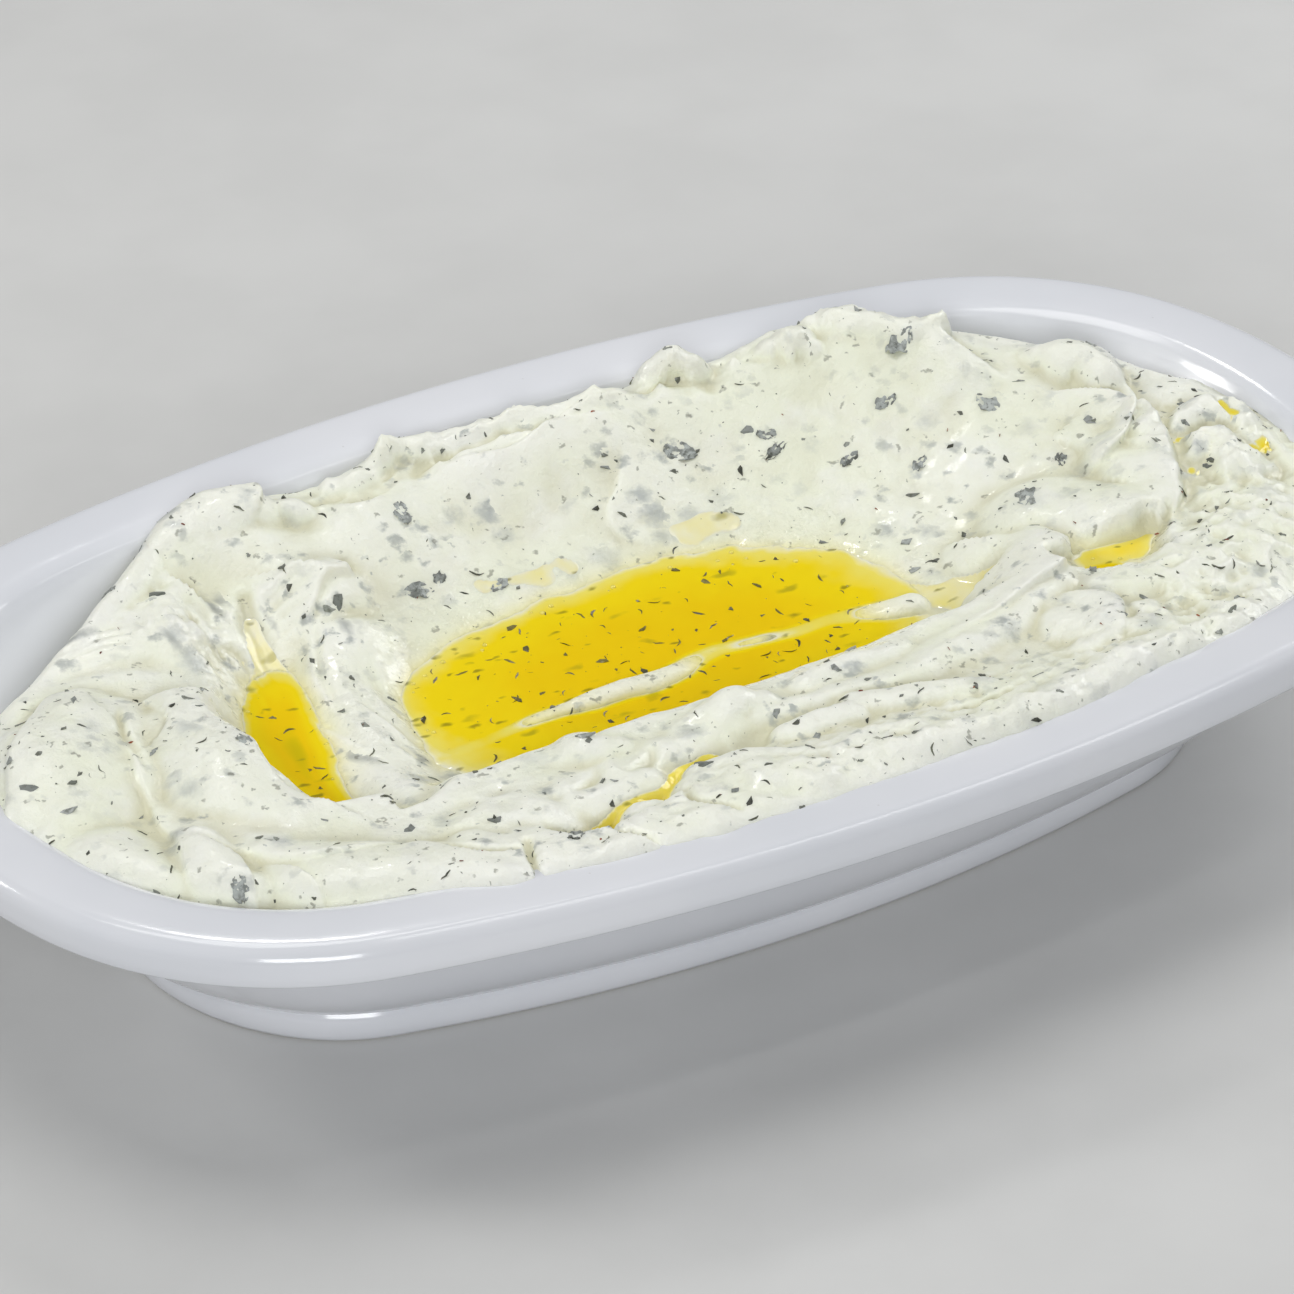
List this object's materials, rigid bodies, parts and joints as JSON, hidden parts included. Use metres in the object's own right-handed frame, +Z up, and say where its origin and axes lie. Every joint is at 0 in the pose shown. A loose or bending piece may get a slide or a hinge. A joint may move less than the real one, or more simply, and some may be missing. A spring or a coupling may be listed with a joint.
{
  "type": "haydari in a long oval meze dish",
  "caption": "Thick herbed yogurt dip heaped and spoon-swept in a long oval white dish, with olive oil pooled in its hollows.",
  "frame": {"origin": "middle of the foot's flat underside, on the surface that the dish stands on", "axes": "+X along the dish, towards the end with the round lobe and the oil pocket; +Y across it, towards the high far crest of the haydari; +Z up"},
  "size_m": [0.2226, 0.1314, 0.0413],
  "materials": {
    "glazed_porcelain": "smooth clear gloss glaze, cool white",
    "herbed_yogurt": "thick wet strained yogurt, off-white, with dark green dill and dried mint",
    "olive_oil": "clear deep yellow oil, mirror smooth"
  },
  "bodies": {
    "root": {"dish": "glazed_porcelain", "haydari": "herbed_yogurt", "oil_pool": "olive_oil", "oil_streak": "olive_oil", "oil_pocket": "olive_oil"}
  },
  "joints": []
}
